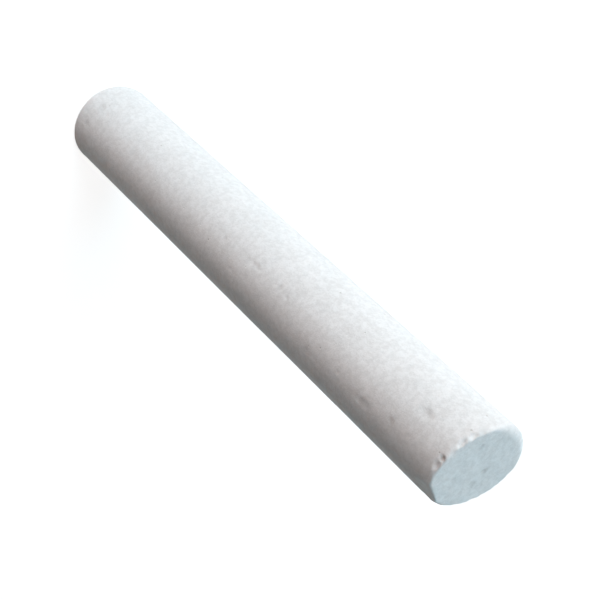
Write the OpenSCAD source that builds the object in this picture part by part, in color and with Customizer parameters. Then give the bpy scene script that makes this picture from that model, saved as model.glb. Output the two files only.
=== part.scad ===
// Chalk stick
// A round stick of moulded school chalk, one solid, standing on its plain end.
// The upper end is out of square, with a rounded rim, a knocked flat, a nick
// and a crumbled hollow.
// Units are millimetres. The origin is the centre of the foot and +Z runs
// along the stick. The high side of the slanted end faces -X. Places round the
// rim are in degrees from +X.

/* [Stick] */
// Diameter of the shaft
shaft_d = 12; // [8:0.5:16]
// Length from the foot to the highest point of the worn end
stick_l = 80; // [50:1:120]

/* [Foot] */
// Rounding of the rim at the foot
foot_round = 0.5; // [0.3:0.1:2]

/* [Worn end] */
// Lean of the worn end out of square, in degrees
tip_slant = 10; // [2:0.5:12]
// Rounding of the rim where it is still crisp
crisp_round = 0.25; // [0.2:0.05:0.7]
// Rounding of the rim where it is worn most, on the high side
worn_round = 1.25; // [0.8:0.05:2]
// How far the wear reaches to either side of that, in degrees
worn_reach = 60; // [40:5:90]

/* [Knocked flat] */
// Place of the knocked flat round the rim
flat_at = -15; // [-180:1:180]
// Radius of the scoop that leaves the flat
flat_r = 14; // [8:1:30]
// Depth of the flat, measured in from the wall
flat_bite = 0.5; // [0.2:0.05:0.8]

/* [Deep nick] */
// Place of the nick round the rim
nick_at = -72; // [-180:1:180]
// Radius of the nick
nick_r = 0.35; // [0.25:0.05:0.8]
// Depth of the nick, measured in from the wall
nick_bite = 0.3; // [0.1:0.05:0.5]
// Distance of the nick below the rim
nick_drop = 0.6; // [0.3:0.05:2]

/* [Crumbled hollow] */
// Place of the hollow round the rim
hollow_at = -98; // [-180:1:180]
// Radius of the scoop that leaves the hollow
hollow_r = 1.6; // [1:0.1:3]
// Depth of the hollow, measured in from the wall
hollow_bite = 0.22; // [0.1:0.02:0.4]
// Distance of the hollow's middle below the rim
hollow_drop = 0.3; // [0:0.05:1]

/* [Hidden] */
$fn = 96;

CHALK_WHITE = [0.95, 0.95, 0.94];
SHAFT_R = shaft_d / 2;
// Gap between a slanted cap and the wall, so that the cap's skirt never reaches the wall
CAP_CLEAR = 0.03;
// Radius of the crisp cap: the shaft's own section is this wide across the slant
CRISP_CAP_R = SHAFT_R / cos(tip_slant) + CAP_CLEAR;
// How far the worn cap is shifted to the low side. It is wider by as much, so the two
// meet on the high side, and beyond the wear's reach the worn one stays clear of the rim.
WORN_SHIFT = (worn_round - crisp_round) / (1 - cos(worn_reach));
WORN_CAP_R = CRISP_CAP_R + WORN_SHIFT;
// Height at which the slanted plane crosses the shaft's axis
PLANE_Z = stick_l - (CRISP_CAP_R - worn_round) * sin(tip_slant)
    + worn_round / cos(tip_slant) - worn_round;
// Length of the shaft before its upper end is cut to the slanted caps
RAW_L = stick_l + shaft_d;

// The shaft from the foot up, with the foot's rim rounded
module raw_shaft() {
    rotate_extrude()
        union() {
            square([SHAFT_R - foot_round, RAW_L]);
            translate([0, foot_round]) square([SHAFT_R, RAW_L - foot_round]);
            translate([SHAFT_R - foot_round, foot_round]) circle(r = foot_round);
        }
}

// Half section of a flat disc with a rounded rim, on a wide and deep skirt
module rounded_cap_section(disc_r, rim_round, skirt_r, depth) {
    translate([0, -depth]) square([disc_r, depth + rim_round]);
    translate([disc_r, 0]) circle(r = rim_round);
    translate([0, -depth]) square([skirt_r, depth]);
}

// All that lies under a slanted cap, which is shifted this far to the low side. The
// cap turns about the point of the shaft's axis where its own rounding starts.
module under_cap(cap_r, rim_round, shift) {
    translate([0, 0, PLANE_Z - rim_round / cos(tip_slant)])
        rotate([0, tip_slant, 0])
            translate([shift, 0, 0])
                rotate_extrude()
                    rounded_cap_section(cap_r - rim_round, rim_round, stick_l, 2 * stick_l);
}

// Height at which the slanted plane meets the wall, at this place round the stick
function rim_z(at) = PLANE_Z - SHAFT_R * cos(at) * tan(tip_slant);

// A ball that bites this deep into the wall, with its middle this far below the rim
module wall_scoop(at, scoop_r, bite, drop) {
    rotate([0, 0, at])
        translate([SHAFT_R + scoop_r - bite, 0, rim_z(at) - drop])
            sphere(r = scoop_r);
}

module chalk_stick() {
    color(CHALK_WHITE)
        difference() {
            intersection() {
                raw_shaft();
                under_cap(CRISP_CAP_R, crisp_round, 0);
                under_cap(WORN_CAP_R, worn_round, WORN_SHIFT);
            }
            wall_scoop(flat_at, flat_r, flat_bite, 0);
            wall_scoop(nick_at, nick_r, nick_bite, nick_drop);
            wall_scoop(hollow_at, hollow_r, hollow_bite, hollow_drop);
        }
}

chalk_stick();
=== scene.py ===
import math
import random

import bpy
from mathutils import Matrix, Quaternion, Vector, kdtree


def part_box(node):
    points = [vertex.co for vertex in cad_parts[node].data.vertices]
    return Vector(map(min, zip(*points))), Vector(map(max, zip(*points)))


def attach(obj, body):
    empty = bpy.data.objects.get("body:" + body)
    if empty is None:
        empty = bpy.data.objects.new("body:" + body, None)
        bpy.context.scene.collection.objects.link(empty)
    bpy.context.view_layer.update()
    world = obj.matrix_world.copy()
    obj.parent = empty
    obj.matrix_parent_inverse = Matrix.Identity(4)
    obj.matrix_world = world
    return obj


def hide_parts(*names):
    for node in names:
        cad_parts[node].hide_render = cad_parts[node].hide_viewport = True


# Chalk stick: the moulded stick, its powdery finish and the plain stage it stands on.
# Lengths are in metres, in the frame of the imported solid: the foot's centre is the
# origin, +Z runs along the stick and the high side of the slanted end faces -X.
# Angles round the stick are in degrees from +X, so -90 is the side that the camera sees.

bl_info = {
    "name": "Chalk Stick",
    "version": (1, 0, 0),
    "blender": (4, 5, 0),
    "location": "View3D > Sidebar > Chalk",
    "description": "Models a worn stick of moulded chalk and a plain stage for it",
    "category": "Add Mesh",
}

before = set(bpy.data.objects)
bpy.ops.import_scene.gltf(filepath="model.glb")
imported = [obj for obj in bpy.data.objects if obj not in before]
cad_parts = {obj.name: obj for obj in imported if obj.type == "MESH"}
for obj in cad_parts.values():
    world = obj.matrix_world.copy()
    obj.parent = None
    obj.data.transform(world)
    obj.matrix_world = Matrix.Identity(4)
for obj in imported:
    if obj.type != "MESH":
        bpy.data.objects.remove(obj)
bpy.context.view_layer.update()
BLANK_LOW, BLANK_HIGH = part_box("chalk_stick")

MM = 0.001
SHAFT_R = (BLANK_HIGH.x - BLANK_LOW.x) / 2
STICK_L = BLANK_HIGH.z
PIECE_NAME = "moulded_chalk_stick"

# Knocks in the wall: angle round the stick, height of the middle, length along the
# stick, width round it, depth, and how much painted shade, with some settled dust, darkens it
WALL_KNOCKS = (
    (-94, 73.4 * MM, 2.7 * MM, 1.4 * MM, 0.15 * MM, 0.25),
    (-84, 42.3 * MM, 4.0 * MM, 0.8 * MM, 0.09 * MM, 0.18),
    (-62, 70.5 * MM, 1.0 * MM, 1.2 * MM, 0.12 * MM, 0.28),
    (-54, 66.0 * MM, 3.5 * MM, 1.4 * MM, 0.10 * MM, 0.16),
    (-85, 47.5 * MM, 0.9 * MM, 0.8 * MM, 0.10 * MM, 0.28),
    (-82, 36.0 * MM, 0.9 * MM, 0.8 * MM, 0.09 * MM, 0.28),
    (-51, 55.5 * MM, 1.2 * MM, 1.1 * MM, 0.08 * MM, 0.12),
    (-80, 14.0 * MM, 1.6 * MM, 1.8 * MM, 0.07 * MM, 0.10),
    (-124, 6.5 * MM, 1.2 * MM, 1.0 * MM, 0.08 * MM, 0.15),
    (-66, 2.6 * MM, 1.6 * MM, 1.1 * MM, 0.11 * MM, 0.24),
    (-96, 3.4 * MM, 1.1 * MM, 1.4 * MM, 0.09 * MM, 0.20),
)

# The same on the rim of the worn end, with a drop from the rim in place of the height:
# the knocked flat, the deep nick and a shallow hollow
RIM_KNOCKS = (
    (-15, 0.00 * MM, 7.0 * MM, 4.7 * MM, 0.50 * MM, 0.0),
    (-72, 0.60 * MM, 0.8 * MM, 0.9 * MM, 0.42 * MM, 0.8),
    (-118, 0.10 * MM, 0.8 * MM, 1.3 * MM, 0.16 * MM, 0.15),
)

# Fresh hollows just under that rim: angle, drop from the rim, length, width and depth.
# What stays between them stands as crumbs.
FRESH_HOLLOWS = (
    (-96.0, 0.40 * MM, 1.05 * MM, 1.90 * MM, 0.46 * MM),
    (-109.5, 0.36 * MM, 0.90 * MM, 1.75 * MM, 0.44 * MM),
    (-62.5, 0.50 * MM, 1.30 * MM, 1.80 * MM, 0.26 * MM),
)

# Dents in the worn end's face: place across it, width, depth, and how much painted shade, with some settled
# dust, darkens them
FACE_DENTS = (
    (-0.16 * MM, 1.29 * MM, 1.0 * MM, 0.19 * MM, 0.45),
    (1.94 * MM, 1.95 * MM, 1.6 * MM, 0.16 * MM, 0.15),
    (-1.49 * MM, -3.49 * MM, 1.3 * MM, 0.12 * MM, 0.1),
    (2.9 * MM, -1.2 * MM, 1.2 * MM, 0.10 * MM, 0.1),
)

# Chips placed one by one on the worn end's rim: angle, width, bite, and lean, which is 1
# midway between the wall and the face, and less towards the face
PLACED_CHIPS = (
    (-80, 2.0 * MM, 0.42 * MM, 0.60),
)

# Stretches of the two rims with small chips scattered along them: from and to, in
# degrees, how many, and the widest
WORN_RIM_CHIPS = ((20, 200, 15, 1.1 * MM), (-150, -118, 2, 0.6 * MM))
FOOT_RIM_CHIPS = ((-180, 180, 16, 0.9 * MM),)

# How the scattered chips differ, from and to: width as a share of the widest, bite as a
# share of the width, lean, and spread along the rim. The power makes wide ones rare.
CHIP_SEED = 11
CHIP_WIDTHS = (0.3, 1.0)
CHIP_BITES = (0.12, 0.22)
CHIP_LEANS = (0.6, 1.4)
CHIP_SPREADS = (0.8, 1.5)
WIDE_ARE_RARE = 1.3

# Layers of relief: name, size of the lumps, contrast, levels of detail, the setting that
# gives the depth, stretch across and along the stick, turn in degrees, and where it is
WORN_RELIEF = (
    ("wander", 9.0 * MM, 1.0, 1, "wander", 1, 2.2, 0, "wall"),
    ("rubs", 0.9 * MM, 1.5, 2, "rub_depth", 1, 9, 0, "wall"),
    ("crumble", 0.8 * MM, 1.7, 3, "crumble_depth", 1, 1, 0, "rims"),
    ("break", 2.4 * MM, 1.3, 3, "break_depth", 1, 1, 0, "worn_face"),
    ("scrapes", 0.5 * MM, 1.5, 1, "scrape_depth", 8, 1, 60, "worn_face"),
)
POWDER_RELIEF = (
    ("grain", 0.45 * MM, 1.3, 2, "grain_depth", 1, 1, 0, ""),
    ("fresh_grain", 0.5 * MM, 1.6, 2, "fresh_grain_depth", 1, 1, 0, "worn_face"),
)
PORE_SPACING = 3.1 * MM
PORE_RADIUS = 0.28 * MM

# Where the wall's relief fades in, below the slanted face and above the foot, and where
# the relief of the face fades out: from and to
WALL_UNDER_FACE = (0.3 * MM, 2.0 * MM)
WALL_OVER_FOOT = (0.3 * MM, 1.5 * MM)
FACE_DEPTH = (0.2 * MM, 0.7 * MM)
# How far from its corner a rim crumbles, and how strongly the foot's rim does
RIM_REACH = 1.0 * MM
FOOT_CRUMBLES = 0.7
# A rounded rim lies inside its corner by these shares of its rounding: for the crumbled
# band, and for the chips, which bite less deep into soft rims
BAND_INSIDE = 0.3
CHIP_INSIDE = 0.2

# Painted shade and dust in a knock: full up to the first share of its radius and gone at the second
SHADE_AND_DUST_SPREAD = (0.5, 1.3)

# Fineness of the model: sides of the blank, steps of a rim's rounding, subdivisions of a
# cutting ball, and how near a corner has to be to count as on a plane
BLANK_SIDES = 128
RIM_STEPS = 8
BALL_STEPS = 5
ON_PLANE = 0.01 * MM

# Lumps of a cutting ball: size as a share of its least half width, contrast, depth as a
# share of the depth that it cuts, and the most that a knock's are of its half width
LUMP_SIZE = 0.7
LUMP_CONTRAST = 1.6
KNOCK_LUMPS = 0.3
CHIP_LUMPS = 0.35
DENT_LUMPS = 0.5
MOST_LUMPS = 0.1
# How far the lumps' noise is shifted for each length that a knock is up the stick
LUMP_SHIFT = 7

# How strongly the colour turns to fresh powder, and how strongly to the dark colour that stands for dust
# and for painted shade
POWDER_ON_RUBS = 0.35
POWDER_ON_RIMS = 0.7
POWDER_ON_FACE = 0.4
DUST_IN_BLOTCHES = 0.08
# How much darker the colour is where the grain is low
DARKER_IN_LOW_GRAIN = 0.34
# Painted shade, with some dust, in the knocks and dents
SHADE_AND_DUST_IN_HOLLOWS = 0.9
# Painted shade, with some dust, in the pinholes
SHADE_AND_DUST_IN_PINHOLES = 0.45

# Distant lamps: name, azimuth and elevation, spread, and colour. Azimuth 0 is the
# camera's side, and it turns towards -X.
DISTANT_LAMPS = (
    ("key", 50, 25, 50, (1.0, 1.0, 1.0)),
    ("cool", 49, 41, 50, (0.19, 0.75, 1.0)),
    ("warm", 36, 23, 50, (1.0, 0.26, 0.0)),
    ("side", -118, 6, 40, (1.0, 0.90, 0.80)),
    ("back", 180, 4, 30, (1.0, 1.0, 1.0)),
    ("fill", -142, 8, 30, (1.0, 0.97, 0.94)),
)
# The lamp close to the worn end
NEAR_AZIMUTH = 50
NEAR_HEIGHT = 76 * MM
NEAR_DISTANCE = 60 * MM
NEAR_RADIUS = 15 * MM

FLOOR_RADIUS = 4.0
FLOOR_SIDES = 96
FLOOR_GREY = 0.45

# The sensor's width in millimetres, and the nearest and farthest that the camera sees
SENSOR_WIDTH = 36
SEES_FROM = 5 * MM
SEES_TO = 20


# ---------------------------------------------------------------- settings


class ChalkStickSizes(bpy.types.PropertyGroup):
    """Sizes that the finish adds to the plain solid."""

    foot_crisp_round: bpy.props.FloatProperty(
        name="Foot crisp rounding", description="Width of the rounding where the foot's rim is crisp",
        default=0.38 * MM, unit="LENGTH",
    )
    foot_soft_round: bpy.props.FloatProperty(
        name="Foot soft rounding", description="Width of the rounding where the foot's rim is worn most",
        default=1.3 * MM, unit="LENGTH",
    )
    foot_soft_at: bpy.props.FloatProperty(
        name="Foot soft side", description="Angle round the stick at which the foot's rim is worn most",
        default=math.radians(-165), subtype="ANGLE",
    )
    tip_slant: bpy.props.FloatProperty(
        name="Worn end slant", description="Lean of the worn end out of square",
        default=math.radians(10), subtype="ANGLE",
    )
    tip_centre: bpy.props.FloatProperty(
        name="Worn end height", description="Height of the slanted face on the stick's axis",
        default=79.17 * MM, unit="LENGTH",
    )
    crisp_round: bpy.props.FloatProperty(
        name="Crisp rounding", description="Width of the rounding where the worn end's rim is crisp",
        default=0.17 * MM, unit="LENGTH",
    )
    soft_round: bpy.props.FloatProperty(
        name="Soft rounding", description="Width of the rounding where that rim is worn most",
        default=1.25 * MM, unit="LENGTH",
    )
    soft_at: bpy.props.FloatProperty(
        name="Soft side", description="Angle round the stick at which that rim is worn most",
        default=math.radians(172), subtype="ANGLE",
    )
    soft_reach: bpy.props.FloatProperty(
        name="Soft reach", description="Angle over which that wear fades out",
        default=math.radians(62), subtype="ANGLE",
    )
    cell: bpy.props.FloatProperty(
        name="Relief cell", description="Size of the mesh cells in which the relief is worked",
        default=0.16 * MM, unit="LENGTH",
    )
    most_triangles: bpy.props.IntProperty(
        name="Most triangles", description="Triangles that the finished stick may have",
        default=196000,
    )
    wander: bpy.props.FloatProperty(
        name="Wander", description="How far the moulded wall dips below true round",
        default=0.07 * MM, unit="LENGTH",
    )
    rub_depth: bpy.props.FloatProperty(
        name="Rub depth", description="Depth of the faint rubs along the shaft",
        default=0.022 * MM, unit="LENGTH",
    )
    grain_depth: bpy.props.FloatProperty(
        name="Grain depth", description="Depth of the pressed powder's grain",
        default=0.022 * MM, unit="LENGTH",
    )
    fresh_grain_depth: bpy.props.FloatProperty(
        name="Fresh grain depth", description="Depth of the coarser grain on the worn end's face",
        default=0.044 * MM, unit="LENGTH",
    )
    pore_depth: bpy.props.FloatProperty(
        name="Pore depth", description="Depth of the air pores",
        default=0.14 * MM, unit="LENGTH",
    )
    break_depth: bpy.props.FloatProperty(
        name="Break depth", description="Unevenness of the worn end's face",
        default=0.13 * MM, unit="LENGTH",
    )
    scrape_depth: bpy.props.FloatProperty(
        name="Scrape depth", description="Depth of the scrape marks on the worn end's face",
        default=0.035 * MM, unit="LENGTH",
    )
    crumble_depth: bpy.props.FloatProperty(
        name="Crumble depth", description="How far the rims have crumbled",
        default=0.055 * MM, unit="LENGTH",
    )


class ChalkFinish(bpy.types.PropertyGroup):
    """Colours of the chalk."""

    pressed_chalk: bpy.props.FloatVectorProperty(
        name="Pressed chalk", description="Colour of the moulded surface",
        default=(0.87, 0.87, 0.86), subtype="COLOR", min=0, max=1,
    )
    fresh_powder: bpy.props.FloatVectorProperty(
        name="Fresh powder", description="Colour where the chalk is newly rubbed or broken",
        default=(0.93, 0.93, 0.925), subtype="COLOR", min=0, max=1,
    )
    # Dark colour of settled dust, also used as painted shade in the knocks, dents and pinholes
    dust_and_painted_shade: bpy.props.FloatVectorProperty(
        name="Settled dust", description="Colour of what has settled in pores and hollows",
        default=(0.60, 0.59, 0.57), subtype="COLOR", min=0, max=1,
    )


class ChalkStage(bpy.types.PropertyGroup):
    """Lamps, floor and camera. A lamp of strength 1 lights what faces it to its own colour."""

    key_light: bpy.props.FloatProperty(
        name="Key", description="Strength of the white key lamp", default=0.48, min=0,
    )
    cool_light: bpy.props.FloatProperty(
        name="Cool", description="Strength of the cool lamp above the camera", default=0.58, min=0,
    )
    warm_light: bpy.props.FloatProperty(
        name="Warm", description="Strength of the warm lamp below that", default=0.345, min=0,
    )
    back_light: bpy.props.FloatProperty(
        name="Back", description="Strength of the low lamp behind the stick", default=0.52, min=0,
    )
    fill_light: bpy.props.FloatProperty(
        name="Fill", description="Strength of the lamp behind the shaded side", default=0.42, min=0,
    )
    side_light: bpy.props.FloatProperty(
        name="Side", description="Strength of the weak lamp on the shaded side", default=0.12, min=0,
    )
    near_light: bpy.props.FloatProperty(
        name="Near", description="Strength of the lamp close to the worn end", default=0.09, min=0,
    )
    sky_light: bpy.props.FloatProperty(
        name="Sky", description="Strength of the light from all round", default=0.01, min=0,
    )
    floor_glow: bpy.props.FloatProperty(
        name="Floor glow", description="What the eye sees on the floor besides its lit colour",
        default=0.82, min=0,
    )
    camera_rise: bpy.props.FloatProperty(
        name="Camera rise", description="Angle at which the camera looks down",
        default=math.radians(37.93), subtype="ANGLE",
    )
    camera_roll: bpy.props.FloatProperty(
        name="Camera roll", description="Turn of the camera about its line of sight",
        default=math.radians(133.26), subtype="ANGLE",
    )
    camera_distance: bpy.props.FloatProperty(
        name="Camera distance", description="From the camera to the point that it looks at",
        default=164.5 * MM, unit="LENGTH",
    )
    camera_aim: bpy.props.FloatProperty(
        name="Camera aim", description="Height of the point on the stick's axis that it looks at",
        default=46.3 * MM, unit="LENGTH",
    )
    camera_lens: bpy.props.FloatProperty(
        name="Lens", description="Focal length on a 36 mm sensor, in millimetres", default=82.15,
    )


# ---------------------------------------------------------------- modelling helpers


def put_down_everything():
    """Leaves edit mode with nothing selected."""
    if bpy.context.object and bpy.context.object.mode != "OBJECT":
        bpy.ops.object.mode_set(mode="OBJECT")
    bpy.ops.object.select_all(action="DESELECT")


def pick_up(piece):
    """Makes this piece the only one selected."""
    put_down_everything()
    piece.select_set(True)
    bpy.context.view_layer.objects.active = piece


def settle(piece):
    """Puts the piece's place into its mesh."""
    pick_up(piece)
    bpy.ops.object.transform_apply(location=True, rotation=True, scale=True)


def finish_with(piece, kind, **values):
    """Adds a modifier with these values and applies it."""
    pick_up(piece)
    modifier = piece.modifiers.new(kind.title(), kind)
    for name, value in values.items():
        setattr(modifier, name, value)
    bpy.ops.object.modifier_apply(modifier=modifier.name)


def smooth_step(low, high, value):
    """0 below low, 1 above high, and a smooth rise between them."""
    share = min(max((value - low) / (high - low), 0.0), 1.0)
    return share * share * (3 - 2 * share)


def outwards(angle):
    """The direction straight out of the stick at this angle round it."""
    return Vector((math.cos(angle), math.sin(angle), 0))


def drawn_out(x=1, z=1, turn=0, shift=0):
    """A space that stretches a pattern along its X and Z, turned about Z and shifted along X."""
    return Matrix.Translation((shift, 0, 0)) @ Matrix.Rotation(turn, 4, "Z") @ Matrix.Diagonal((x, 1, z, 1))


def cloud_pattern(name, size, contrast, detail=2):
    """A solid noise with lumps of this size."""
    pattern = bpy.data.textures.new(name, "CLOUDS")
    pattern.noise_basis = "IMPROVED_PERLIN"
    pattern.noise_scale = size
    pattern.noise_depth = detail
    pattern.contrast = contrast
    pattern.use_clamp = True
    return pattern


def pore_pattern(name, spacing, radius):
    """Points scattered this far apart, each with a pore of at most this radius round it."""
    pattern = bpy.data.textures.new(name, "VORONOI")
    pattern.noise_scale = spacing
    pattern.noise_intensity = spacing / radius
    pattern.use_clamp = True
    return pattern


def sink(piece, pattern, depth, space, mask=""):
    """Sinks the surface where the pattern is dark, at most this deep, and never raises it.

    space stretches the pattern, and mask is the vertex group that says where."""
    stretcher = bpy.data.objects.new("stretcher", None)
    bpy.context.scene.collection.objects.link(stretcher)
    stretcher.matrix_world = space
    bpy.context.view_layer.update()
    finish_with(
        piece, "DISPLACE", texture=pattern, strength=depth, mid_level=1.0, direction="NORMAL",
        vertex_group=mask, texture_coords="OBJECT", texture_coords_object=stretcher,
    )
    bpy.data.objects.remove(stretcher)


def mask_by_place(piece, name, weight, steps=24):
    """A vertex group, and an attribute for the finish, with a weight worked out from each place."""
    weights = [min(max(weight(vertex.co), 0.0), 1.0) for vertex in piece.data.vertices]
    shelves = [[] for _ in range(steps + 1)]
    for index, share in enumerate(weights):
        shelves[round(share * steps)].append(index)
    group = piece.vertex_groups.new(name=name)
    for step, members in enumerate(shelves[1:], 1):
        if members:
            group.add(members, step / steps, "REPLACE")
    note_on(piece, name + "_share", weights)


def note_on(piece, name, values):
    """Keeps one number for each vertex, for the finish to read."""
    note = piece.data.attributes.new(name, "FLOAT", "POINT")
    note.data.foreach_set("value", values)


# ---------------------------------------------------------------- the stick's form


def worn_rounding(angle, crisp, soft, soft_at, reach):
    """Width of a rim's rounding at this angle: crisp all round but for one soft side."""
    off = abs(math.remainder(angle - soft_at, 2 * math.pi))
    return soft + (crisp - soft) * smooth_step(0, reach, off)


class Foot:
    """The foot's rim."""

    def __init__(self, sizes):
        self.sizes = sizes

    def height(self, angle):
        """Height of the rim: the foot is square and stands at zero."""
        return 0.0

    def rounding(self, angle):
        """Width of the rim's rounding."""
        sizes = self.sizes
        return worn_rounding(
            angle, sizes.foot_crisp_round, sizes.foot_soft_round, sizes.foot_soft_at, sizes.soft_reach
        )


class WornEnd:
    """The plane of the slanted end, and how round its rim is at each angle."""

    def __init__(self, sizes):
        self.sizes = sizes
        self.normal = Vector((math.sin(sizes.tip_slant), 0, math.cos(sizes.tip_slant)))
        self.centre = Vector((0, 0, sizes.tip_centre))

    def height(self, angle):
        """Height at which the plane meets the wall."""
        return self.centre.z - SHAFT_R * math.cos(angle) * math.tan(self.sizes.tip_slant)

    def below(self, place):
        """Depth of a place under the plane."""
        return (self.centre - place).dot(self.normal)

    def rounding(self, angle):
        """Width of the rim's rounding."""
        sizes = self.sizes
        return worn_rounding(angle, sizes.crisp_round, sizes.soft_round, sizes.soft_at, sizes.soft_reach)


def press_blank(sizes, foot, end):
    """The plain round stick, cut to its slant, with both rims rounded."""
    put_down_everything()
    raw_l = STICK_L + 2 * SHAFT_R
    bpy.ops.mesh.primitive_cylinder_add(
        vertices=BLANK_SIDES, radius=SHAFT_R, depth=raw_l, end_fill_type="NGON",
        location=(0, 0, raw_l / 2),
    )
    stick = bpy.context.object
    stick.name = PIECE_NAME
    stick.data.name = PIECE_NAME
    settle(stick)

    bpy.ops.object.mode_set(mode="EDIT")
    bpy.ops.mesh.select_all(action="SELECT")
    bpy.ops.mesh.bisect(plane_co=end.centre, plane_no=end.normal, use_fill=True, clear_outer=True)
    bpy.ops.object.mode_set(mode="OBJECT")

    # The bevel's width at each rim edge is its weight times the widest
    widest = max(sizes.soft_round, sizes.foot_soft_round)
    weights = []
    for edge in stick.data.edges:
        ends = [stick.data.vertices[index].co for index in edge.vertices]
        middle = (ends[0] + ends[1]) / 2
        angle = math.atan2(middle.y, middle.x)
        if all(abs(end.below(place)) < ON_PLANE for place in ends):
            weights.append(end.rounding(angle) / widest)
        elif all(place.z < ON_PLANE for place in ends):
            weights.append(foot.rounding(angle) / widest)
        else:
            weights.append(0.0)
    note = stick.data.attributes.new("bevel_weight_edge", "FLOAT", "EDGE")
    note.data.foreach_set("value", weights)
    finish_with(stick, "BEVEL", width=widest, segments=RIM_STEPS, limit_method="WEIGHT")
    return stick


def rough_ball(name, radii, angle, place, roughness, shift):
    """A lumpy ball of these half widths: out of the stick, round it and along it."""
    put_down_everything()
    bpy.ops.mesh.primitive_ico_sphere_add(
        subdivisions=BALL_STEPS, radius=1, location=place, rotation=(0, 0, angle), scale=radii
    )
    ball = bpy.context.object
    ball.name = name
    settle(ball)
    lumps = cloud_pattern(name, LUMP_SIZE * min(radii), LUMP_CONTRAST)
    sink(ball, lumps, roughness, drawn_out(shift=shift))
    return ball


def cut_out(stick, ball):
    """Cuts the ball out of the stick and removes the ball."""
    finish_with(stick, "BOOLEAN", object=ball, operation="DIFFERENCE", solver="EXACT")
    bpy.data.objects.remove(ball)


def scoop(stick, name, angle, height, length, width, depth):
    """A knock in the wall: a ball whose cap in the wall has this length, width and depth."""
    out = max(width, 1.0 * MM)
    along = math.sqrt(out / (2 * depth)) * length / 2
    # The wall curves away from the ball, so the ball is flatter by as much, to a limit
    least_bend = 1 / (4 * SHAFT_R)
    bend = max(2 * depth / (width / 2) ** 2 - 1 / SHAFT_R, least_bend)
    round_it = math.sqrt(out / bend)
    place = outwards(angle) * (SHAFT_R + out - depth) + Vector((0, 0, height))
    roughness = min(KNOCK_LUMPS * depth, MOST_LUMPS * round_it)
    shift = LUMP_SHIFT * height
    cut_out(stick, rough_ball(name, (out, round_it, along), angle, place, roughness, shift))


def knock_about(stick, end):
    """The knocks of the wall and of the worn end's rim. Returns where painted shade and some dust darken
    them.
    """
    shade_and_dust_spots = []
    knocks = list(WALL_KNOCKS)
    for degrees, drop, *rest in RIM_KNOCKS:
        knocks.append((degrees, end.height(math.radians(degrees)) - drop, *rest))
    for number, (degrees, height, length, width, depth, dust_and_shade) in enumerate(knocks):
        angle = math.radians(degrees)
        scoop(stick, "knock_%d" % number, angle, height, length, width, depth)
        middle = outwards(angle) * (SHAFT_R - depth) + Vector((0, 0, height))
        shade_and_dust_spots.append((middle, width / 2, dust_and_shade))
    return shade_and_dust_spots


def ball_radius(width, depth):
    """Radius of a ball that leaves a dent of this width and depth in a flat face."""
    return width * width / (8 * depth) + depth / 2


def chip(stick, name, angle, rim, upwards, width, bite, lean, spread=1.0):
    """A small chip off a rim. upwards is 1 at the worn end and -1 at the foot."""
    radius = ball_radius(width, bite)
    stand_off = (radius - bite - CHIP_INSIDE * rim.rounding(angle)) / math.sqrt(2)
    place = outwards(angle) * (SHAFT_R + stand_off * lean)
    place.z = rim.height(angle) + upwards * stand_off * (2 - lean)
    radii = (radius, radius * spread, radius)
    cut_out(stick, rough_ball(name, radii, angle, place, CHIP_LUMPS * bite, shift=angle))


def chip_rims(stick, foot, end):
    """Small chips scattered along both rims, the same ones each time."""
    chance = random.Random(CHIP_SEED)
    for rim, upwards, stretches in ((end, 1, WORN_RIM_CHIPS), (foot, -1, FOOT_RIM_CHIPS)):
        for first, last, count, widest in stretches:
            for number in range(count):
                angle = math.radians(first + (last - first) * (number + chance.random()) / count)
                width = widest * chance.uniform(*CHIP_WIDTHS) ** WIDE_ARE_RARE
                bite = width * chance.uniform(*CHIP_BITES)
                lean = chance.uniform(*CHIP_LEANS)
                spread = chance.uniform(*CHIP_SPREADS)
                chip(stick, "chip", angle, rim, upwards, width, bite, lean, spread)


def dent_face(stick, end):
    """The dents of the worn end's face. Returns where painted shade and some dust darken them."""
    shade_and_dust_spots = []
    for number, (x, y, width, depth, dust_and_shade) in enumerate(FACE_DENTS):
        radius = ball_radius(width, depth)
        place = Vector((x, y, end.centre.z - x * math.tan(end.sizes.tip_slant)))
        shade_and_dust_spots.append((place, width / 2, dust_and_shade))
        place = place + end.normal * (radius - depth)
        name = "dent_%d" % number
        roughness = DENT_LUMPS * depth
        cut_out(stick, rough_ball(name, (radius,) * 3, 0, place, roughness, shift=number * MM))
    return shade_and_dust_spots


def break_rim(stick, end):
    """The fresh breaks of the worn end's rim, cut sharply into its worn relief."""
    for degrees, drop, length, width, depth in FRESH_HOLLOWS:
        angle = math.radians(degrees)
        scoop(stick, "fresh_hollow", angle, end.height(angle) - drop, length, width, depth)
    for degrees, width, bite, lean in PLACED_CHIPS:
        chip(stick, "placed_chip", math.radians(degrees), end, 1, width, bite, lean)


def even_out(stick, cell, smoothings):
    """Gives the whole skin small even cells, so that relief can be worked in it, and softens it."""
    finish_with(stick, "REMESH", mode="VOXEL", voxel_size=cell, use_smooth_shade=True)
    if smoothings:
        finish_with(stick, "SMOOTH", factor=0.5, iterations=smoothings)


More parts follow.
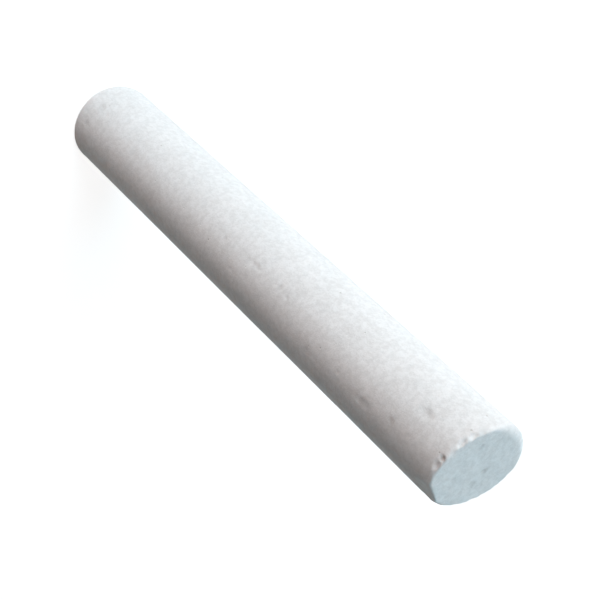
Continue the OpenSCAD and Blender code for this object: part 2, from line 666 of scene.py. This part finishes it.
def mark_places(stick, foot, end):
    """Masks for the wall, for the worn end's face and for both rims."""

    def wall(place):
        return smooth_step(*WALL_UNDER_FACE, end.below(place)) * smooth_step(*WALL_OVER_FOOT, place.z)

    def worn_face(place):
        return 1 - smooth_step(*FACE_DEPTH, end.below(place))

    def near_rim(rim, angle, off_wall, off_end):
        off_rim = math.hypot(off_wall, off_end) - BAND_INSIDE * rim.rounding(angle)
        return 1 - smooth_step(0, RIM_REACH, off_rim)

    def rims(place):
        angle = math.atan2(place.y, place.x)
        off_wall = SHAFT_R - math.hypot(place.x, place.y)
        near_foot = near_rim(foot, angle, off_wall, place.z)
        return max(near_rim(end, angle, off_wall, end.below(place)), FOOT_CRUMBLES * near_foot)

    mask_by_place(stick, "wall", wall)
    mask_by_place(stick, "worn_face", worn_face)
    mask_by_place(stick, "rims", rims)


def work_layers(stick, layers, sizes):
    """Sinks these layers of relief into the skin, one after the other."""
    for name, lumps, contrast, detail, depth, across, along, degrees, mask in layers:
        space = drawn_out(x=across, z=along, turn=math.radians(degrees))
        sink(stick, cloud_pattern(name, lumps, contrast, detail), getattr(sizes, depth), space, mask)


def work_relief(stick, sizes):
    """The relief of worn, pressed chalk, with its air pores."""
    work_layers(stick, WORN_RELIEF, sizes)
    sink(stick, pore_pattern("pores", PORE_SPACING, PORE_RADIUS), sizes.pore_depth, drawn_out())


def work_grain(stick, sizes):
    """The grain of the pressed powder, coarser on the worn end's face."""
    work_layers(stick, POWDER_RELIEF, sizes)


def note_hollows(stick, shade_and_dust_spots):
    """Notes, for the finish, how much painted shade, with some dust, darkens each place in the knocks and
    dents.
    """
    skin = kdtree.KDTree(len(stick.data.vertices))
    for index, vertex in enumerate(stick.data.vertices):
        skin.insert(vertex.co, index)
    skin.balance()
    shares = [0.0] * len(stick.data.vertices)
    for middle, radius, dust_and_shade in shade_and_dust_spots:
        full, gone = (share * radius for share in SHADE_AND_DUST_SPREAD)
        for _, index, distance in skin.find_range(middle, gone):
            share = dust_and_shade * (1 - smooth_step(full, gone, distance))
            shares[index] = max(shares[index], share)
    note_on(stick, "hollow", shares)


def thin_out(stick, most):
    """Takes triangles away where the surface is plainest."""
    finish_with(stick, "TRIANGULATE")
    count = len(stick.data.polygons)
    if count > most:
        finish_with(stick, "DECIMATE", ratio=most / count, use_collapse_triangulate=True)


# ---------------------------------------------------------------- finish


def new_group(name, inputs, outputs):
    """An empty node group with these named sockets. Inputs are given with their defaults."""
    group = bpy.data.node_groups.new(name, "ShaderNodeTree")
    for socket, default in inputs.items():
        kind = "NodeSocketVector" if default is None else "NodeSocketFloat"
        made = group.interface.new_socket(socket, in_out="INPUT", socket_type=kind)
        if default is not None:
            made.default_value = default
    for socket in outputs:
        group.interface.new_socket(socket, in_out="OUTPUT", socket_type="NodeSocketFloat")
    group.nodes.new("NodeGroupInput").name = "in"
    group.nodes.new("NodeGroupOutput").name = "out"
    return group


def add_node(tree, kind, **settings):
    """A node with these settings."""
    node = tree.nodes.new(kind)
    for name, value in settings.items():
        setattr(node, name, value)
    return node


def math_node(tree, operation, first, second):
    """A Math node of two values, each a socket or a number."""
    node = add_node(tree, "ShaderNodeMath", operation=operation)
    for socket, value in zip(node.inputs, (first, second)):
        if isinstance(value, (int, float)):
            socket.default_value = value
        else:
            tree.links.new(value, socket)
    return node.outputs[0]


def ramp_node(tree, value, low, high, to_low=0.0, to_high=1.0):
    """A smooth rise of the output from to_low to to_high while the value goes from low to high."""
    node = add_node(tree, "ShaderNodeMapRange", interpolation_type="SMOOTHSTEP")
    tree.links.new(value, node.inputs["Value"])
    for name, number in (("From Min", low), ("From Max", high), ("To Min", to_low), ("To Max", to_high)):
        node.inputs[name].default_value = number
    return node.outputs["Result"]


def noise_node(tree, vector, scale, detail, roughness):
    """Noise whose features are about 1 / scale metres."""
    node = add_node(tree, "ShaderNodeTexNoise")
    tree.links.new(vector, node.inputs["Vector"])
    for name, number in (("Scale", scale), ("Detail", detail), ("Roughness", roughness)):
        node.inputs[name].default_value = number
    return node.outputs["Fac"]


def powder_grain():
    """Node group: the fine grain of pressed powder and its pinholes."""
    inputs = {"Vector": None, "Pinhole share": 0.12}
    group = new_group("Powder grain", inputs, ("Grain", "Pinholes", "Height"))
    vector = group.nodes["in"].outputs["Vector"]
    out = group.nodes["out"].inputs
    fine = noise_node(group, vector, scale=5200, detail=4, roughness=0.65)
    coarse = noise_node(group, vector, scale=1500, detail=3, roughness=0.6)
    fine = math_node(group, "MULTIPLY", fine, 0.45)
    coarse = math_node(group, "MULTIPLY", coarse, 0.55)
    grain = math_node(group, "ADD", fine, coarse)
    cells = add_node(group, "ShaderNodeTexVoronoi")
    cells.inputs["Scale"].default_value = 1300
    group.links.new(vector, cells.inputs["Vector"])
    draw = add_node(group, "ShaderNodeSeparateColor")
    group.links.new(cells.outputs["Color"], draw.inputs["Color"])
    share = group.nodes["in"].outputs["Pinhole share"]
    chosen = math_node(group, "LESS_THAN", draw.outputs["Red"], share)
    radius = ramp_node(group, draw.outputs["Green"], 0.0, 1.0, to_low=0.05, to_high=0.22)
    off_middle = math_node(group, "DIVIDE", cells.outputs["Distance"], radius)
    hole = ramp_node(group, off_middle, 0.45, 1.0, to_low=1.0, to_high=0.0)
    pinholes = math_node(group, "MULTIPLY", hole, chosen)
    height = math_node(group, "SUBTRACT", grain, math_node(group, "MULTIPLY", pinholes, 0.8))
    group.links.new(grain, out["Grain"])
    group.links.new(pinholes, out["Pinholes"])
    group.links.new(height, out["Height"])
    return group


def handling_rubs():
    """Node group: where handling has rubbed the surface, as long faint streaks and soft blotches."""
    group = new_group("Handling rubs", {"Vector": None}, ("Streaks", "Blotches"))
    vector = group.nodes["in"].outputs["Vector"]
    stretch = add_node(group, "ShaderNodeMapping", vector_type="POINT")
    stretch.inputs["Scale"].default_value = (1, 1, 0.08)
    group.links.new(vector, stretch.inputs["Vector"])
    streaks = noise_node(group, stretch.outputs["Vector"], scale=1100, detail=3, roughness=0.6)
    streaks = ramp_node(group, streaks, 0.42, 0.72)
    blotches = noise_node(group, vector, scale=260, detail=4, roughness=0.6)
    blotches = ramp_node(group, blotches, 0.35, 0.70)
    group.links.new(streaks, group.nodes["out"].inputs["Streaks"])
    group.links.new(blotches, group.nodes["out"].inputs["Blotches"])
    return group


def place_group(tree, group, vector):
    """A copy of the group in this tree, reading these coordinates."""
    node = add_node(tree, "ShaderNodeGroup", node_tree=group)
    tree.links.new(vector, node.inputs["Vector"])
    return node


def attribute_node(tree, name):
    """A number kept on the mesh."""
    return add_node(tree, "ShaderNodeAttribute", attribute_name=name).outputs["Fac"]


def tint(tree, colour, other, share):
    """The colour, turned to the other by this share."""
    node = add_node(tree, "ShaderNodeMix", data_type="RGBA")
    # The colour sockets A and B of a Mix node are its seventh and eighth
    sockets = node.inputs["Factor"], node.inputs[6], node.inputs[7]
    for socket, value in zip(sockets, (share, colour, other)):
        if isinstance(value, bpy.types.NodeSocket):
            tree.links.new(value, socket)
        else:
            socket.default_value = (*value, 1)
    return node.outputs[2]


def pressed_chalk(finish):
    """White moulded chalk: powdery and matte, with painted shade and some dust in its hollows and pinholes,
    and fresh rims.
    """
    material = bpy.data.materials.new("pressed_chalk")
    material.use_nodes = True
    tree = material.node_tree
    shader = tree.nodes["Principled BSDF"]
    place = add_node(tree, "ShaderNodeTexCoord").outputs["Object"]
    grain = place_group(tree, powder_grain(), place)
    rubs = place_group(tree, handling_rubs(), place)
    hollow = attribute_node(tree, "hollow")
    face = attribute_node(tree, "worn_face_share")
    rim = attribute_node(tree, "rims_share")

    def share_of(value, share):
        return math_node(tree, "MULTIPLY", value, share)

    fresh = share_of(rubs.outputs["Streaks"], POWDER_ON_RUBS)
    fresh = math_node(tree, "MAXIMUM", fresh, share_of(rim, POWDER_ON_RIMS))
    fresh = math_node(tree, "MAXIMUM", fresh, share_of(face, POWDER_ON_FACE))
    colour = tint(tree, finish.pressed_chalk, finish.fresh_powder, fresh)
    # Darker where the grain is low
    low_grain = ramp_node(tree, grain.outputs["Grain"], 0.38, 0.62, to_low=DARKER_IN_LOW_GRAIN, to_high=0.0)
    dust_and_shade = share_of(rubs.outputs["Blotches"], DUST_IN_BLOTCHES)
    dust_and_shade = math_node(tree, "ADD", dust_and_shade, low_grain)
    # Painted shade, with some dust, in the knocks and dents
    dust_and_shade = math_node(tree, "ADD", dust_and_shade, share_of(hollow, SHADE_AND_DUST_IN_HOLLOWS))
    # Painted shade, with some dust, in the pinholes
    dust_and_shade = math_node(tree, "ADD", dust_and_shade, share_of(grain.outputs["Pinholes"], SHADE_AND_DUST_IN_PINHOLES))
    colour = tint(tree, colour, finish.dust_and_painted_shade, dust_and_shade)
    tree.links.new(colour, shader.inputs["Base Color"])

    smoother = ramp_node(tree, rubs.outputs["Streaks"], 0.2, 1.0, to_low=0.96, to_high=0.86)
    tree.links.new(smoother, shader.inputs["Roughness"])
    shader.inputs["Specular IOR Level"].default_value = 0.25
    shader.inputs["Diffuse Roughness"].default_value = 0.7

    bump = add_node(tree, "ShaderNodeBump")
    bump.inputs["Strength"].default_value = 1.0
    bump.inputs["Distance"].default_value = 0.05 * MM
    tree.links.new(grain.outputs["Height"], bump.inputs["Height"])
    tree.links.new(bump.outputs["Normal"], shader.inputs["Normal"])
    return material


# ---------------------------------------------------------------- stage


def towards(azimuth):
    """The level direction from the stick's axis to a lamp at this azimuth, in degrees."""
    turn = math.radians(azimuth)
    return Vector((-math.sin(turn), -math.cos(turn), 0))


def hang_lamp(name, kind):
    """A lamp in the scene, at the origin."""
    holder = bpy.data.objects.new(name, bpy.data.lights.new(name, kind))
    bpy.context.scene.collection.objects.link(holder)
    return holder


def add_distant_lamp(name, azimuth, elevation, spread, colour, strength):
    """A soft distant lamp. Angles are in degrees."""
    holder = hang_lamp(name, "SUN")
    holder.data.energy = strength * math.pi
    holder.data.angle = math.radians(spread)
    holder.data.color = colour
    rise = math.radians(elevation)
    source = towards(azimuth) * math.cos(rise) + Vector((0, 0, math.sin(rise)))
    holder.rotation_euler = source.to_track_quat("Z", "Y").to_euler()


def add_near_lamp(strength):
    """The soft lamp close to the worn end. Its strength is what reaches the wall at its height."""
    holder = hang_lamp("near", "POINT")
    holder.data.energy = strength * (2 * math.pi * (NEAR_DISTANCE - SHAFT_R)) ** 2
    holder.data.shadow_soft_size = NEAR_RADIUS
    holder.location = towards(NEAR_AZIMUTH) * NEAR_DISTANCE + Vector((0, 0, NEAR_HEIGHT))
    holder.visible_camera = False


def show_to_the_eye(tree, seen, unseen, output):
    """Shows one shader to the eye, in gloss and through glass, and the other to light that bounces."""
    path = add_node(tree, "ShaderNodeLightPath")
    direct = math_node(tree, "MAXIMUM", path.outputs["Is Camera Ray"], path.outputs["Is Glossy Ray"])
    direct = math_node(tree, "MAXIMUM", direct, path.outputs["Is Transmission Ray"])
    choice = add_node(tree, "ShaderNodeMixShader")
    tree.links.new(direct, choice.inputs[0])
    tree.links.new(unseen.outputs[0], choice.inputs[1])
    tree.links.new(seen.outputs[0], choice.inputs[2])
    tree.links.new(choice.outputs[0], output)


def pale_floor(glow):
    """A white floor that keeps a soft shadow."""
    material = bpy.data.materials.new("pale_floor")
    material.use_nodes = True
    tree = material.node_tree
    tree.nodes.remove(tree.nodes["Principled BSDF"])
    matte = add_node(tree, "ShaderNodeBsdfDiffuse")
    matte.inputs["Color"].default_value = (FLOOR_GREY, FLOOR_GREY, FLOOR_GREY, 1)
    light = add_node(tree, "ShaderNodeEmission")
    light.inputs["Strength"].default_value = glow
    both = add_node(tree, "ShaderNodeAddShader")
    tree.links.new(matte.outputs[0], both.inputs[0])
    tree.links.new(light.outputs[0], both.inputs[1])
    show_to_the_eye(tree, both, matte, tree.nodes["Material Output"].inputs["Surface"])
    return material


def white_sky(strength):
    """A white backdrop that itself lights the stick only a little."""
    world = bpy.data.worlds.new("studio")
    world.use_nodes = True
    tree = world.node_tree
    sky = tree.nodes["Background"]
    sky.inputs["Color"].default_value = (1, 1, 1, 1)
    sky.inputs["Strength"].default_value = strength
    backdrop = add_node(tree, "ShaderNodeBackground")
    backdrop.inputs["Color"].default_value = (1, 1, 1, 1)
    show_to_the_eye(tree, backdrop, sky, tree.nodes["World Output"].inputs["Surface"])
    return world


def add_camera(stage):
    """The camera, looking down along +Y at the stick's axis and rolled about its line of sight."""
    lens = bpy.data.cameras.new("camera")
    lens.sensor_width = SENSOR_WIDTH
    lens.lens = stage.camera_lens
    lens.clip_start = SEES_FROM
    lens.clip_end = SEES_TO
    camera = bpy.data.objects.new("camera", lens)
    bpy.context.scene.collection.objects.link(camera)
    back = Vector((0, -math.cos(stage.camera_rise), math.sin(stage.camera_rise)))
    camera.location = Vector((0, 0, stage.camera_aim)) + back * stage.camera_distance
    camera.rotation_mode = "QUATERNION"
    camera.rotation_quaternion = back.to_track_quat("Z", "Y") @ Quaternion((0, 0, 1), stage.camera_roll)
    return camera


# ---------------------------------------------------------------- add-on


class CHALK_OT_stick(bpy.types.Operator):
    """Model the chalk stick with its worn end, knocks, pores and grain"""

    bl_idname = "chalk.stick"
    bl_label = "Chalk Stick"
    bl_options = {"REGISTER", "UNDO"}

    def execute(self, context):
        sizes = context.scene.chalk_stick_sizes
        end = WornEnd(sizes)
        foot = Foot(sizes)
        stick = press_blank(sizes, foot, end)
        shade_and_dust_spots = knock_about(stick, end) + dent_face(stick, end)
        chip_rims(stick, foot, end)
        even_out(stick, sizes.cell, smoothings=1)
        mark_places(stick, foot, end)
        work_relief(stick, sizes)
        break_rim(stick, end)
        even_out(stick, sizes.cell, smoothings=0)
        mark_places(stick, foot, end)
        work_grain(stick, sizes)
        note_hollows(stick, shade_and_dust_spots)
        thin_out(stick, sizes.most_triangles)
        stick.data.materials.clear()
        stick.data.materials.append(pressed_chalk(context.scene.chalk_finish))
        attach(stick, "root")
        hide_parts("chalk_stick")
        return {"FINISHED"}


class CHALK_OT_stage(bpy.types.Operator):
    """Set the pale floor, the soft lamps and the camera"""

    bl_idname = "chalk.stage"
    bl_label = "Stage"
    bl_options = {"REGISTER", "UNDO"}

    def execute(self, context):
        scene = context.scene
        stage = scene.chalk_stage
        put_down_everything()
        bpy.ops.mesh.primitive_circle_add(vertices=FLOOR_SIDES, radius=FLOOR_RADIUS, fill_type="NGON")
        floor = context.object
        floor.name = "floor"
        floor.data.materials.append(pale_floor(stage.floor_glow))
        scene.world = white_sky(stage.sky_light)
        for name, *placing in DISTANT_LAMPS:
            add_distant_lamp(name, *placing, strength=getattr(stage, name + "_light"))
        add_near_lamp(stage.near_light)
        scene.camera = add_camera(stage)
        scene.view_settings.view_transform = "Standard"
        return {"FINISHED"}


class CHALK_PT_panel(bpy.types.Panel):
    """The chalk stick's settings and operators"""

    bl_label = "Chalk Stick"
    bl_idname = "CHALK_PT_panel"
    bl_space_type = "VIEW_3D"
    bl_region_type = "UI"
    bl_category = "Chalk"

    def draw(self, context):
        scene = context.scene
        for settings in (scene.chalk_stick_sizes, scene.chalk_finish, scene.chalk_stage):
            for name in settings.__annotations__:
                self.layout.prop(settings, name)
        for operator in (CHALK_OT_stick, CHALK_OT_stage):
            self.layout.operator(operator.bl_idname)


CLASSES = (ChalkStickSizes, ChalkFinish, ChalkStage, CHALK_OT_stick, CHALK_OT_stage, CHALK_PT_panel)


def register():
    """Adds the settings, the operators and the panel."""
    for cls in CLASSES:
        bpy.utils.register_class(cls)
    bpy.types.Scene.chalk_stick_sizes = bpy.props.PointerProperty(type=ChalkStickSizes)
    bpy.types.Scene.chalk_finish = bpy.props.PointerProperty(type=ChalkFinish)
    bpy.types.Scene.chalk_stage = bpy.props.PointerProperty(type=ChalkStage)


def unregister():
    """Takes them away again."""
    del bpy.types.Scene.chalk_stage
    del bpy.types.Scene.chalk_finish
    del bpy.types.Scene.chalk_stick_sizes
    for cls in reversed(CLASSES):
        bpy.utils.unregister_class(cls)


def main():
    """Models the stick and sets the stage."""
    register()
    bpy.ops.chalk.stick()
    bpy.ops.chalk.stage()


if __name__ == "__main__":
    main()
